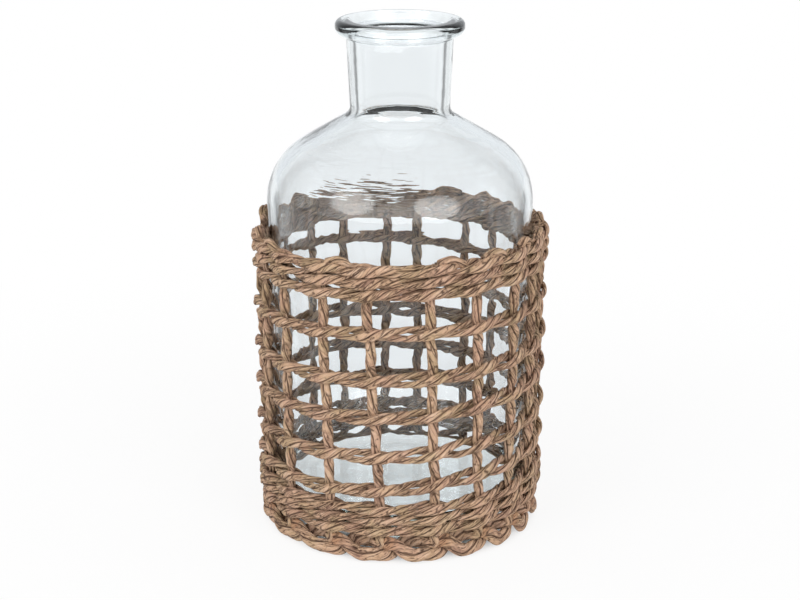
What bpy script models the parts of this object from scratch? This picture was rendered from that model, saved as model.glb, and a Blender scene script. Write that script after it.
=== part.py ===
"""Bottle-shaped glass candle holder standing in an openwork basket of twisted paper cord.

Lengths are in metres. +Z is up, the table is at zero and the front faces -Y.
An angle round the holder starts at the front and grows to the right, seen from the front.
A place round the basket is also counted in stakes: one stake spacing is 1, a turn is STAKE_COUNT.
"""

import math

import bmesh
import bpy
import numpy as np
from mathutils import Vector

# Whole holder
HOLDER_HEIGHT = 0.160

# Glass bottle
GLASS_FOOT_RADIUS = 0.0403
GLASS_SHOULDER_RADIUS = 0.0415
GLASS_LIFT = 0.0035
GLASS_WALL = 0.0027
FLOOR_THICKNESS = 0.0087
HEEL_RADIUS = 0.009
FLOOR_CORNER_RADIUS = 0.005
SHOULDER_RISE = 0.0156
SHOULDER_RADIUS = 0.0210
NECK_HEIGHT = 0.0285
NECK_BASE_RADIUS = 0.0153
NECK_TOP_RADIUS = 0.0164
NECK_FILLET = 0.0035
LIP_RADIUS = 0.0198
LIP_THICKNESS = 0.0048
LIP_EDGE_RADIUS = 0.0022
MOUTH_RADIUS = 0.0139
GLASS_SIDES = 40
ARC_STEP_DEG = 19.0

# Cords of the basket, pressed flat where they cross
STRAND_FACE_HEIGHT = 0.0031
STRAND_FACE_DEPTH = 0.0014
STRAND_SPAN_DEPTH = 0.0013
STRAND_SPAN_PACKED_HEIGHT = 0.0012
STRAND_SPAN_OPEN_HEIGHT = 0.0019
STAKE_DIAMETER = 0.0032
STAKE_PINCH_DEPTH = 0.0015
CORD_SIDES = 5
BEND_STEP = 0.0003
BEND_MERGE_SHARE = 0.1

# Gaps between neighbouring pieces
GLASS_FIT_GAP = 0.0003
CORD_GAP = 0.0003
ROW_GAP = 0.0004
STRAND_JOIN_GAP = 0.0005

# Stakes: evenly spaced, with each end moved sideways by a hand-chosen share of the spacing
STAKE_COUNT = 18
FOOT_SHIFT_SHARES = (0.22, 0.19, 0.06, -0.06, 0.0, 0.05, 0.08, -0.09, 0.06,
                     -0.12, -0.10, -0.15, -0.10, -0.05, -0.05, -0.07, 0.04, 0.12)
RIM_SHIFT_SHARES = (0.08, 0.07, 0.10, -0.17, -0.10, 0.0, 0.08, -0.09, 0.11,
                    -0.20, -0.15, -0.20, -0.10, 0.0, 0.04, -0.14, -0.10, -0.16)

# Rows of twining: one pair of strands climbs from the foot to the rim
FOOT_ROW_HEIGHT = 0.0104
RIM_ROW_DROP = 0.0297
FOOT_ROW_TURN = 2
FOOT_ROWS = 3
RIM_ROW_TURN = 10
RIM_ROWS = 3
SPIRAL_START_STAKE = 28
FOOT_END_STAKE = 82
RIM_START_STAKE = 170
SPIRAL_END_STAKE = 228
OPEN_TURNS = (4.75, 4.93, 5.0, 5.07, 5.25, 5.75, 6.0, 6.25, 6.75, 7.0, 7.25,
              7.75, 8.0, 8.25, 8.75, 9.0, 9.25, 9.75)
OPEN_CLIMB_SHARES = (0.061, 0.078, 0.096, 0.129, 0.158, 0.219, 0.254, 0.317, 0.401, 0.436, 0.490,
                     0.580, 0.609, 0.649, 0.777, 0.824, 0.830, 0.962)
PACKED_SPREAD = 0.0020
OPEN_SPREAD = 0.0028

# Foot border: each stake turns in to the heel of the glass, runs below the next stake and comes
# out to end short of the one after
HEEL_SEAT_ANGLE_DEG = 46.0
FOOT_FLAT_SHARE = 0.1
FLAT_SNAP = 0.0002
TAIL_BEND_HEIGHT = 0.0060
TAIL_OUT = 0.0011
TAIL_SPACING_SHARES = (0.0, 0.05, 0.15, 0.27, 0.38, 0.50, 0.72, 1.0, 1.12, 1.25, 1.38, 1.50,
                       1.65, 1.80)
TAIL_INSET_SHARES = (0.0, 0.14, 0.60, 1.0, 0.98, 0.85, 0.55, 0.28, 0.12, -0.1, -0.6, -1.0,
                     -1.0, -0.9)
TAIL_HEIGHT_SHARES = (1.0, 0.92, 0.83, 0.78, 0.38, 0.07, 0.0, 0.0, 0.02, 0.08, 0.36, 0.68,
                      0.90, 0.96)

# Rim hooks: the top end of each stake is turned over to the right, on the top row
HOOK_SPACING_SHARES = (0.04, 0.20, 0.46, 0.74)
HOOK_RISE = 0.0006
HOOK_RISE_SHARES = (-0.4, 0.8, 1.0, 0.0)
HOOK_DIAMETER = 0.0022

# Colours, as linear red, green and blue
CORD_COLOUR = (0.42, 0.25, 0.14)
GLASS_COLOUR = (0.86, 0.93, 0.91)
CORD_ROUGHNESS = 0.85
GLASS_ROUGHNESS = 0.03
GLASS_IOR = 1.5
SHARP_ANGLE_DEG = 40.0
MM_PER_METRE = 1000.0

# Values that follow from the ones above
NECK_BASE_HEIGHT = HOLDER_HEIGHT - NECK_HEIGHT
SHOULDER_CORNER_HEIGHT = NECK_BASE_HEIGHT - SHOULDER_RISE
RIM_ROW_HEIGHT = SHOULDER_CORNER_HEIGHT - RIM_ROW_DROP
STRAND_OFFSET = (STRAND_FACE_DEPTH + STAKE_PINCH_DEPTH) / 2 + CORD_GAP
GLASS_TO_STAKE = GLASS_FIT_GAP + STRAND_FACE_DEPTH + CORD_GAP + STAKE_PINCH_DEPTH / 2
ROW_PITCH = STRAND_FACE_HEIGHT + ROW_GAP
PINCH_REACH = ROW_PITCH / 2 + CORD_GAP
PACKED_HALF_HEIGHT = (PACKED_SPREAD + STRAND_SPAN_PACKED_HEIGHT) / 2
CORD_RADIUS = STAKE_DIAMETER / 2
REST_HEIGHT = CORD_RADIUS - FOOT_FLAT_SHARE * STAKE_DIAMETER


def make_material(name, colour, roughness, transmission=0.0):
    """Return a Principled material with the given colour, roughness and transmission."""
    material = bpy.data.materials.new(name)
    material.use_nodes = True
    shader = material.node_tree.nodes["Principled BSDF"]
    shader.inputs["Base Color"].default_value = (*colour, 1.0)
    shader.inputs["Roughness"].default_value = roughness
    shader.inputs["Metallic"].default_value = 0.0
    shader.inputs["Transmission Weight"].default_value = transmission
    shader.inputs["IOR"].default_value = GLASS_IOR
    return material


def add_object(name, mesh_builder, material, parent=None, location=(0.0, 0.0, 0.0)):
    """Turn a bmesh into a smooth-shaded object with its faces pointing out."""
    bmesh.ops.recalc_face_normals(mesh_builder, faces=mesh_builder.faces)
    mesh = bpy.data.meshes.new(name)
    mesh_builder.to_mesh(mesh)
    mesh_builder.free()
    mesh.shade_smooth()
    mesh.set_sharp_from_angle(angle=math.radians(SHARP_ANGLE_DEG))
    mesh.materials.append(material)
    piece = bpy.data.objects.new(name, mesh)
    piece.location = location
    piece.parent = parent
    bpy.context.scene.collection.objects.link(piece)
    return piece


def rounded_outline(corners):
    """Round each corner (radius, height, fillet) of an outline with an arc of its fillet."""
    points = [Vector(corners[0][:2])]
    for before, corner, after in zip(corners, corners[1:], corners[2:]):
        here = Vector(corner[:2])
        back = (Vector(before[:2]) - here).normalized()
        ahead = (Vector(after[:2]) - here).normalized()
        half = back.angle(ahead) / 2
        centre = here + (back + ahead).normalized() * corner[2] / math.sin(half)
        start = here + back * corner[2] / math.tan(half) - centre
        sweep = -start.angle_signed(here + ahead * corner[2] / math.tan(half) - centre)
        steps = math.ceil(abs(math.degrees(sweep)) / ARC_STEP_DEG)
        for step in range(steps + 1):
            angle = sweep * step / steps
            turned = Vector((start.x * math.cos(angle) - start.y * math.sin(angle),
                             start.x * math.sin(angle) + start.y * math.cos(angle)))
            points.append(centre + turned)
    points.append(Vector(corners[-1][:2]))
    return points


def glass_corners():
    """Corners of half the bottle's section, from under its floor to the top of its floor."""
    slope = math.atan2(NECK_BASE_HEIGHT - SHOULDER_CORNER_HEIGHT,
                       GLASS_SHOULDER_RADIUS - NECK_BASE_RADIUS)
    drop = GLASS_WALL * (1 / math.cos(slope) - math.tan(slope))
    lip_under = HOLDER_HEIGHT - LIP_THICKNESS
    floor_top = GLASS_LIFT + FLOOR_THICKNESS
    outside = [
        (0.0, GLASS_LIFT, 0.0),
        (GLASS_FOOT_RADIUS, GLASS_LIFT, HEEL_RADIUS),
        (GLASS_SHOULDER_RADIUS, SHOULDER_CORNER_HEIGHT, SHOULDER_RADIUS),
        (NECK_BASE_RADIUS, NECK_BASE_HEIGHT, NECK_FILLET),
        (NECK_TOP_RADIUS, lip_under, LIP_EDGE_RADIUS / 2),
        (LIP_RADIUS, lip_under, LIP_EDGE_RADIUS),
        (LIP_RADIUS, HOLDER_HEIGHT, LIP_EDGE_RADIUS),
    ]
    inside = [
        (MOUTH_RADIUS, HOLDER_HEIGHT, LIP_EDGE_RADIUS),
        (NECK_BASE_RADIUS - GLASS_WALL, NECK_BASE_HEIGHT - drop, NECK_FILLET + GLASS_WALL),
        (GLASS_SHOULDER_RADIUS - GLASS_WALL, SHOULDER_CORNER_HEIGHT - drop,
         SHOULDER_RADIUS - GLASS_WALL),
        (GLASS_FOOT_RADIUS - GLASS_WALL, floor_top, FLOOR_CORNER_RADIUS),
        (0.0, floor_top, 0.0),
    ]
    return outside + inside


def make_bottle(material):
    """Turn the bottle's half section about its axis, which the lift joint follows."""
    builder = bmesh.new()
    outline = rounded_outline(glass_corners())
    verts = [builder.verts.new((point.x, 0.0, point.y - GLASS_LIFT)) for point in outline]
    edges = [builder.edges.new(pair) for pair in zip(verts, verts[1:])]
    bmesh.ops.spin(builder, geom=verts + edges, axis=(0.0, 0.0, 1.0), angle=math.tau,
                   steps=GLASS_SIDES, use_merge=True)
    bmesh.ops.remove_doubles(builder, verts=builder.verts, dist=CORD_GAP / GLASS_SIDES)
    return add_object("glass_bottle", builder, material, location=(0.0, 0.0, GLASS_LIFT))


def glass_radius(height):
    """Outer radius of the bottle's straight wall at a height."""
    share = (height - GLASS_LIFT) / (SHOULDER_CORNER_HEIGHT - GLASS_LIFT)
    return GLASS_FOOT_RADIUS + (GLASS_SHOULDER_RADIUS - GLASS_FOOT_RADIUS) * share


def stake_radius(height):
    """Radius of the stakes' middle line at a height."""
    return glass_radius(height) + GLASS_TO_STAKE


def row_height_at(turns):
    """Height of the climbing pair's middle line after a number of turns."""
    foot_turns = [FOOT_ROW_TURN - 1] + [FOOT_ROW_TURN + row for row in range(FOOT_ROWS)]
    rim_turns = [RIM_ROW_TURN + row for row in range(RIM_ROWS + 1)]
    foot = [FOOT_ROW_HEIGHT + (turn - FOOT_ROW_TURN) * ROW_PITCH for turn in foot_turns]
    rim = [RIM_ROW_HEIGHT + (turn - RIM_ROW_TURN) * ROW_PITCH for turn in rim_turns]
    climb = RIM_ROW_HEIGHT - foot[-1]
    opened = [foot[-1] + share * climb for share in OPEN_CLIMB_SHARES]
    return np.interp(turns, foot_turns + list(OPEN_TURNS) + rim_turns, foot + opened + rim)


def stake_turn(numbers, heights):
    """Angle of stakes at given heights, in turns; each one leans from its foot to its rim end."""
    share = (heights - FOOT_ROW_HEIGHT) / (RIM_ROW_HEIGHT - FOOT_ROW_HEIGHT)
    foot_shift = np.array(FOOT_SHIFT_SHARES)[numbers % STAKE_COUNT]
    rim_shift = np.array(RIM_SHIFT_SHARES)[numbers % STAKE_COUNT]
    shift = mixed(foot_shift, rim_shift, np.clip(share, 0.0, 1.0))
    return (numbers + shift + 0.5) / STAKE_COUNT


def angle_at(stakes):
    """Angle round the holder, in turns, at a place counted in stakes along the climb."""
    numbers = np.arange(-STAKE_COUNT, SPIRAL_END_STAKE + STAKE_COUNT)
    heights = row_height_at((numbers + 0.5) / STAKE_COUNT)
    return np.interp(stakes, numbers, stake_turn(numbers, heights))


def row_height(stakes):
    """Height of the climbing pair's middle line at a place counted in stakes."""
    return row_height_at(angle_at(stakes))


def openness(stakes):
    """How far the rows stand apart: 0 where they are packed and 1 in the openwork."""
    above = row_height(np.asarray(stakes) + STAKE_COUNT) - row_height(stakes)
    below = row_height(stakes) - row_height(np.asarray(stakes) - STAKE_COUNT)
    spare = np.minimum(above, below) - ROW_PITCH
    return np.clip(spare / ROW_PITCH, 0.0, 1.0)


def mixed(start, end, share):
    """Value between start and end at a share of the way."""
    return start + (end - start) * share


def swept_tube(centres, normals, half_depths, half_widths):
    """Rings of a tube of CORD_SIDES round a line of centres; the depth lies along the normals.

    Inside a tight bend, a point that would fall behind the ring before it stays where that one is.
    """
    tangents = np.gradient(centres, axis=0)
    tangents /= np.linalg.norm(tangents, axis=1, keepdims=True)
    normals = normals - tangents * np.sum(normals * tangents, axis=1, keepdims=True)
    normals /= np.linalg.norm(normals, axis=1, keepdims=True)
    sides = np.cross(tangents, normals)
    angles = (np.arange(CORD_SIDES) + 0.5) * math.tau / CORD_SIDES
    rings = (centres[:, None, :]
             + normals[:, None, :] * half_depths[:, None, None] * np.cos(angles)[None, :, None]
             + sides[:, None, :] * half_widths[:, None, None] * np.sin(angles)[None, :, None])
    for ring in range(1, len(rings)):
        ahead = (rings[ring] - rings[ring - 1]) @ tangents[ring]
        rings[ring] = np.where(ahead[:, None] < BEND_STEP, rings[ring - 1], rings[ring])
    return rings


def tube_mesh(rings):
    """Join rings of points into one closed tube."""
    builder = bmesh.new()
    loops = [[builder.verts.new(point) for point in ring] for ring in rings]
    for lower, upper in zip(loops, loops[1:]):
        for side in range(CORD_SIDES):
            beside = (side + 1) % CORD_SIDES
            builder.faces.new((lower[side], lower[beside], upper[beside], upper[side]))
    builder.faces.new(loops[0])
    builder.faces.new(loops[-1])
    bmesh.ops.remove_doubles(builder, verts=builder.verts, dist=BEND_STEP * BEND_MERGE_SHARE)
    return builder


def place(turns, radii, heights):
    """Points at angles round the holder, in turns, radii and heights."""
    angles = np.asarray(turns) * math.tau
    return np.stack([radii * np.sin(angles), -radii * np.cos(angles),
                     heights + 0 * angles], axis=1)


def outward(turns):
    """Level directions that point away from the holder's axis."""
    angles = np.asarray(turns) * math.tau
    return np.stack([np.sin(angles), -np.cos(angles), 0 * angles], axis=1)


def strand_rings(first, last, phase):
    """Rings of one strand, in front of every second stake and behind the others.

    Its height above the row and its distance from the stakes' line are the sine and the
    cosine of half a turn for each stake.
    """
    join = STRAND_JOIN_GAP / 2 / (math.tau * stake_radius(RIM_ROW_HEIGHT) / STAKE_COUNT)
    stakes = np.arange(2 * first, 2 * last + 1) / 2
    stakes[0] += join
    stakes[-1] -= join
    swing = np.pi * (stakes + phase)
    face = np.cos(swing) ** 2
    opened = openness(stakes)
    spread = mixed(PACKED_SPREAD, OPEN_SPREAD, opened) / 2
    heights = row_height(stakes)
    span_height = mixed(STRAND_SPAN_PACKED_HEIGHT, STRAND_SPAN_OPEN_HEIGHT, opened)
    radii = stake_radius(heights) + STRAND_OFFSET * np.cos(swing)
    turns = angle_at(stakes)
    centres = place(turns, radii, heights + spread * np.sin(swing))
    return swept_tube(centres, outward(turns),
                      mixed(STRAND_SPAN_DEPTH, STRAND_FACE_DEPTH, face) / 2,
                      mixed(span_height, STRAND_FACE_HEIGHT, face) / 2)


def least_gap(rings):
    """Least distance between points of a tube that lie more than half a turn apart along it."""
    points = rings.reshape(-1, 3)
    order = np.repeat(np.arange(len(rings)), CORD_SIDES)
    least = np.inf
    for index, ring in enumerate(rings):
        far = points[order > index + STAKE_COUNT]
        if len(far):
            apart = np.linalg.norm(ring[:, None, :] - far[None, :, :], axis=2)
            least = min(least, apart.min())
    return least


def make_strands(material, parent):
    """Twine the foot band, the openwork and the rim band, two strands each."""
    bands = (("foot_band", SPIRAL_START_STAKE, FOOT_END_STAKE),
             ("openwork", FOOT_END_STAKE, RIM_START_STAKE),
             ("rim_band", RIM_START_STAKE, SPIRAL_END_STAKE))
    for band, first, last in bands:
        for strand, phase in (("a", 1), ("b", 0)):
            name = f"{band}_strand_{strand}"
            rings = strand_rings(first - phase + 1, last - phase + 1, phase)
            gap = round(least_gap(rings) * MM_PER_METRE, 2)
            print(name, "least gap to itself, mm:", gap)
            add_object(name, tube_mesh(rings), material, parent)


def crossings(stake):
    """Places, counted in stakes, where the climbing pair crosses one stake."""
    return np.arange(stake % STAKE_COUNT, SPIRAL_END_STAKE + 1, STAKE_COUNT)


def tail_route(stake):
    """Turns, radii and heights of a stake's foot, from its end in the open to its bend."""
    seat = math.radians(HEEL_SEAT_ANGLE_DEG)
    reach = HEEL_RADIUS + GLASS_FIT_GAP + CORD_RADIUS
    seat_radius = GLASS_FOOT_RADIUS - HEEL_RADIUS + reach * math.sin(seat)
    bend_radius = stake_radius(TAIL_BEND_HEIGHT)
    shares = np.array(TAIL_INSET_SHARES)
    insets = np.where(shares > 0, shares * (bend_radius - seat_radius), shares * TAIL_OUT)
    places = stake - np.array(TAIL_SPACING_SHARES)
    end = places[-1]
    start = end + STAKE_COUNT * math.ceil((SPIRAL_START_STAKE - end) / STAKE_COUNT)
    under_row = row_height(start) - PACKED_HALF_HEIGHT - CORD_GAP - CORD_RADIUS
    tops = np.where(np.array(TAIL_SPACING_SHARES) > 1.0, under_row, TAIL_BEND_HEIGHT)
    heights = REST_HEIGHT + np.array(TAIL_HEIGHT_SHARES) * (tops - REST_HEIGHT)
    return (angle_at(places)[::-1], (bend_radius - insets)[::-1], heights[::-1])


def upright_route(rows):
    """Heights and half depths of the part of a stake between its foot and its rim hook.

    It is pressed flat from just below to just above each row and swells between rows that
    stand apart.
    """
    heights = [rows[0] - PINCH_REACH]
    depths = [STAKE_PINCH_DEPTH / 2]
    for row, above in zip(rows, rows[1:]):
        if above - row > 2 * PINCH_REACH + CORD_RADIUS:
            heights += [row + PINCH_REACH, (row + above) / 2, above - PINCH_REACH]
            depths += [STAKE_PINCH_DEPTH / 2, CORD_RADIUS, STAKE_PINCH_DEPTH / 2]
    heights.append(rows[-1] + PINCH_REACH)
    depths.append(STAKE_PINCH_DEPTH / 2)
    return np.array(heights), np.array(depths)


def carried_normals(centres, first):
    """Carry a first normal along a line of centres without twisting it."""
    normals = [first]
    tangents = np.gradient(centres, axis=0)
    for tangent in tangents:
        tangent = tangent / np.linalg.norm(tangent)
        normal = normals[-1] - tangent * np.dot(normals[-1], tangent)
        normals.append(normal / np.linalg.norm(normal))
    return np.array(normals[1:])


def make_stake(stake, material, parent):
    """Sweep one stake from its cut end at the foot, up through the rows, to its rim hook."""
    rows = [float(row_height(spot)) for spot in crossings(stake) if spot >= SPIRAL_START_STAKE]
    tail_turns, tail_radii, tail_heights = tail_route(stake)
    up_heights, up_depths = upright_route(rows)
    up_turns = stake_turn(np.array(stake), up_heights)
    last = crossings(stake)[-1]
    hook_turns = angle_at(last + np.array(HOOK_SPACING_SHARES))
    over_row = rows[-1] + PACKED_HALF_HEIGHT + CORD_GAP + HOOK_DIAMETER / 2
    hook_heights = over_row + HOOK_RISE * np.array(HOOK_RISE_SHARES)
    turns = np.concatenate([tail_turns, up_turns, hook_turns])
    heights = np.concatenate([tail_heights, up_heights, hook_heights])
    radii = np.concatenate([tail_radii, stake_radius(up_heights),
                            np.full(len(hook_turns), stake_radius(over_row))])
    centres = place(turns, radii, heights)
    tail = np.full(len(tail_turns), CORD_RADIUS)
    hook = np.full(len(hook_turns), HOOK_DIAMETER / 2)
    half_depths = np.concatenate([tail, up_depths, hook])
    half_widths = np.concatenate([tail, np.full(len(up_heights), CORD_RADIUS), hook])
    upright = len(tail_turns)
    start = outward(up_turns[:1])[0]
    down = carried_normals(centres[upright::-1], start)[::-1]
    up = carried_normals(centres[upright:], start)
    normals = np.concatenate([down[:-1], up])
    builder = tube_mesh(swept_tube(centres, normals, half_depths, half_widths))
    everything = builder.verts[:] + builder.edges[:] + builder.faces[:]
    bmesh.ops.bisect_plane(builder, geom=everything, dist=FLAT_SNAP, plane_co=(0.0, 0.0, 0.0),
                           plane_no=(0.0, 0.0, 1.0), use_snap_center=True, clear_inner=True)
    bmesh.ops.holes_fill(builder, edges=builder.edges, sides=0)
    add_object(f"basket_stake_{stake + 1:02d}", builder, material, parent)


def main():
    """Clear the scene's objects and build the holder."""
    for old in list(bpy.data.objects):
        bpy.data.objects.remove(old)
    cord = make_material("twisted_paper_cord", CORD_COLOUR, CORD_ROUGHNESS)
    glass = make_material("pale_green_glass", GLASS_COLOUR, GLASS_ROUGHNESS, 1.0)
    basket = bpy.data.objects.new("basket_axis", None)
    bpy.context.scene.collection.objects.link(basket)
    make_bottle(glass)
    make_strands(cord, basket)
    for stake in range(STAKE_COUNT):
        make_stake(stake, cord, basket)


main()
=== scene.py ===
"""Dresses the glass candle holder and its twined paper cord basket, and sets its stage.

Lengths are in metres, +Z is up, the table is at zero and the front faces -Y.
An angle round the holder starts at the front and grows to the right, seen from the front.
A place round the basket is also counted in stakes: one stake spacing is 1.
"""

import math

import bpy
import numpy as np
from bpy.props import FloatProperty, FloatVectorProperty, IntProperty, PointerProperty
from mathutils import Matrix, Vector


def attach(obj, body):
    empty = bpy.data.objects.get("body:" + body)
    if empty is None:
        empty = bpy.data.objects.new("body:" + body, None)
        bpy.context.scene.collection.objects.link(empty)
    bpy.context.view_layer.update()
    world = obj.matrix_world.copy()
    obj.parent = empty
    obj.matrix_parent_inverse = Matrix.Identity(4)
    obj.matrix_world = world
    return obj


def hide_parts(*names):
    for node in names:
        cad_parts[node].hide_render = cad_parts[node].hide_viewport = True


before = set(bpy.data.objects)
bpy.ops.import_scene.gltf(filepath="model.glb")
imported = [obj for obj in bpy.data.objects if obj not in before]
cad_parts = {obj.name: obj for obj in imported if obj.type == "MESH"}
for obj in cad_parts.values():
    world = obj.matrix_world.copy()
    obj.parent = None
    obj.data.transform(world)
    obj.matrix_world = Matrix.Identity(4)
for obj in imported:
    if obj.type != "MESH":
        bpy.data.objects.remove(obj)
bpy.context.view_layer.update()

bl_info = {
    "name": "Glass candle holder in a paper cord basket",
    "version": (1, 0, 0),
    "blender": (4, 5, 0),
    "location": "3D View > Sidebar > Candle holder",
    "description": "Builds the detailed glass bottle, its twined basket and a plain stage",
    "category": "Object",
}

# The basket's layout, the same as in the solid model. The shifts are in stake spacings.
STAKE_COUNT = 18
STAKE_SPACING = 0.0145
FRONT_SHIFT = 0.5
FOOT_SHIFTS = (0.22, 0.19, 0.06, -0.06, 0.0, 0.05, 0.08, -0.09, 0.06,
               -0.12, -0.10, -0.15, -0.10, -0.05, -0.05, -0.07, 0.04, 0.12)
RIM_SHIFTS = (0.08, 0.07, 0.10, -0.17, -0.10, 0.0, 0.08, -0.09, 0.11,
              -0.20, -0.15, -0.20, -0.10, 0.0, 0.04, -0.14, -0.10, -0.16)
STAKE_GAP = 0.00275

# The climb of the twined pair: heights of its middle line after a number of turns
FOOT_ROW = 0.0104
FOOT_ROW_TURN = 2.0
RIM_ROW = 0.0862
RIM_ROW_TURN = 10.0
ROW_PITCH = 0.0035
OPENWORK_START = 0.0174
FOOT_TURNS = (1.0, 2.0, 3.0, 4.0)
OPENWORK_TURNS = (4.75, 4.93, 5.0, 5.07, 5.25, 5.75, 6.0, 6.25, 6.75, 7.0, 7.25,
                  7.75, 8.0, 8.25, 8.75, 9.0, 9.25, 9.75)
OPENWORK_RISES = (0.061, 0.078, 0.096, 0.129, 0.158, 0.219, 0.254, 0.317, 0.401, 0.436, 0.490,
                  0.580, 0.609, 0.649, 0.777, 0.824, 0.830, 0.962)
RIM_TURNS = (10.0, 11.0, 12.0, 13.0)
ROW_TURNS = FOOT_TURNS + OPENWORK_TURNS + RIM_TURNS
ROW_HEIGHTS = (
    *(FOOT_ROW + (turn - FOOT_ROW_TURN) * ROW_PITCH for turn in FOOT_TURNS),
    *(OPENWORK_START + rise * (RIM_ROW - OPENWORK_START) for rise in OPENWORK_RISES),
    *(RIM_ROW + (turn - RIM_ROW_TURN) * ROW_PITCH for turn in RIM_TURNS),
)
FIRST_STAKE = 28
LAST_STAKE = 228

# The twined strands: how far they stand apart, and their half sizes where they cross
STRAND_OFFSET = 0.00175
PACKED_SPREAD = 0.0017
OPEN_SPREAD = 0.0021
STRAND_FACE_DEPTH = 0.00096
STRAND_PACKED_DEPTH = 0.00094
STRAND_OPEN_DEPTH = 0.00108
STRAND_CROSS_HEIGHT = 0.00135
STRAND_SEEDS = (40, 50)

# Unevenness of the rows, along stakes, and the smoothing of the climb, in stake spacings
ROW_UNEVENNESS = 0.00022
ROW_WAVE = 2.3
ROW_SEEDS = (20, 21)
CLIMB_SMOOTHING = 0.9
LOOSE_SEED = 11
LOOSE_POWER = 7
LOOSE_SPREAD = 0.0008

# Where the far row is thin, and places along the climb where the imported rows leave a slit
SLENDER_START = (163.5, 166.5)
SLENDER_END = (176.0, 179.0)
SLENDER_SPREAD = 0.5
SLENDER_DEPTH = 0.1
SLENDER_HEIGHT = 0.2
SLIT_STAKES = (35.14, 52.33, 53.16, 54.28, 70.33, 71.19, 72.28, 181.2, 195.3, 197.9, 199.15,
               213.3, 215.9)
SLIT_REACH = 0.17
SLIT_SPREAD = 0.2
SLIT_DEPTH = 0.32
SLIT_HEIGHT = 0.25

# A stake's foot, from its upright to its cut end: stakes to the left, share of the step in to the
# glass's heel or (below 0) out, share of the rise, half height and half depth of the cord
TAIL_POINTS = np.array((
    (0.00, 0.00, 1.00, 0.00165, 0.00165),
    (0.05, 0.14, 0.92, 0.00165, 0.00160),
    (0.14, 0.52, 0.88, 0.00200, 0.00140),
    (0.24, 0.85, 0.88, 0.00260, 0.00120),
    (0.42, 0.88, 0.88, 0.00280, 0.00120),
    (0.58, 0.82, 0.78, 0.00270, 0.00120),
    (0.72, 0.58, 0.36, 0.00240, 0.00130),
    (0.86, 0.30, 0.04, 0.00230, 0.00145),
    (1.00, 0.12, 0.00, 0.00230, 0.00150),
    (1.20, -0.20, 0.00, 0.00230, 0.00150),
    (1.40, -0.80, 0.04, 0.00230, 0.00150),
    (1.55, -1.00, 0.35, 0.00230, 0.00140),
    (1.68, -1.00, 0.71, 0.00230, 0.00130),
    (1.82, -1.00, 0.93, 0.00240, 0.00120),
    (1.94, -0.90, 1.00, 0.00260, 0.00130),
))
TAIL_SEAT_DEPTH = 0.00395
TAIL_OUT = 0.0005
TAIL_BEND = 0.0060
TAIL_REST = 0.0022
TAIL_UNDER_ROW = 0.0039
NEXT_STAKE = 1.0

# A stake's upright: its ends below the lowest and the highest row, its sway, and how it is
# pressed where it passes a row
UPRIGHT_POINTS = 30
UPRIGHT_START = 0.002
UPRIGHT_END = 0.0006
UPRIGHT_FOOT = (0.0065, 0.0095)
UPRIGHT_TOP = 0.002
SWAY = 0.0005
SWAY_WAVE = 0.022
SWAY_SEED = 60
SWAY_RADIUS = 0.044
PRESSED_DEPTH = 0.00082
PRESSED_REACH = (0.0017, 0.0042)
STAKE_SEED = 90
SEED_STEP = 10

# A stake's hook on the rim: stakes to the right, height above the top row and step out
HOOK_POINTS = np.array((
    (0.05, 0.0006, 0.0000),
    (0.15, 0.0015, 0.0001),
    (0.28, 0.0022, 0.0002),
    (0.43, 0.0025, 0.0003),
    (0.56, 0.0019, 0.0002),
    (0.67, 0.0007, -0.0002),
    (0.76, -0.0006, -0.0006),
))
HOOK_SIZES = (1.15, 1.15, 1.35, 0.9, 1.1, 0.7, 1.0, 1.2, 0.8, 1.0, 0.7, 1.1, 0.9, 1.3, 1.15, 0.35,
              1.15, 0.25)

# The cord's own form: its plies' unevenness as shares of its size, and the length of their waves
CORD_SIDES = 18
PLY_COUNT = 3
GROOVE_POWER = 3
TWIST_UNEVENNESS = 0.9
TWIST_WAVE = 0.03
CORD_UNEVENNESS = 0.05
CORD_WAVE = 0.017
PLY_UNEVENNESS = 0.09
PLY_WAVE = 0.009
WANDER_WAVES = (0.6, 1.0, 1.9)
WANDER_SPREAD = (0.85, 1.15)
CURVE_POINTS = 25
LEAST_RINGS = 8
# The strands' map starts here, past the length that a cut end reddens
UNCUT_START = 0.02

# The paper's patterns: per metre along the cord, per turn round it, and their drift
CORD_MAP = "cord"
GROOVE_EDGE = (0.37, 0.48)
PATCH_SCALE = 90.0
BEND_ALONG, BEND_ROUND, BEND_PATCHES = 150.0, 5.0, 3.0
FACET_ALONG, FACET_ROUND, FACET_BEND, FACET_PATCHES = 160.0, 7.5, 2.2, 1.5
FIBRE_ALONG, FIBRE_ROUND, FIBRE_PATCHES = 300.0, 42.0, 9.0
FLECK_ALONG, FLECK_ROUND, FLECK_BEND, FLECK_DRIFT = 700.0, 16.0, 6.0, 40.0
# Painted shade: the creases between facets and the grooves between plies are darkened in the
# colour. Below are the creases' width, the flecks that break them up, and how much each is darkened
CREASE_WIDTH = 0.13
CREASE_FLECKS = (0.38, 0.56)
CREASE_PAINTED_SHADE = 0.9
GROOVE_FLECKS = 0.9
GROOVE_PAINTED_SHADE = 0.4

# The paper's shade and relief: the share of each pattern
FACET_SHADE, FIBRE_SHADE, FLECK_SHADE, PATCH_SHADE = 0.2, 0.5, 0.42, 0.3
SHADE_SHIFT = 0.21
SHADE_STOPS = (0.33, 0.45, 0.50, 0.62)
FACET_RELIEF, EDGE_RELIEF, FIBRE_RELIEF, FLECK_RELIEF = 0.25, 0.5, 0.45, 0.5
GROOVE_RELIEF = 0.5
EDGE_WIDTH = 0.35
PAPER_BUMP = 0.9
PAPER_RELIEF = 0.0006
PAPER_ROUGHNESS = 0.85

# The paper's pink and olive patches, and the reddening of its frayed ends
TONE_SCALE = 150.0
PINK_TONE = (0.5, 0.68)
OLIVE_TONE = (0.34, 0.48)
TONE_DEPTH = 0.45
FRAY_FLECKS = 0.005
FRAY_LENGTH = (0.0035, 0.0075)
FRAY_DEPTH = 0.6

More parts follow.
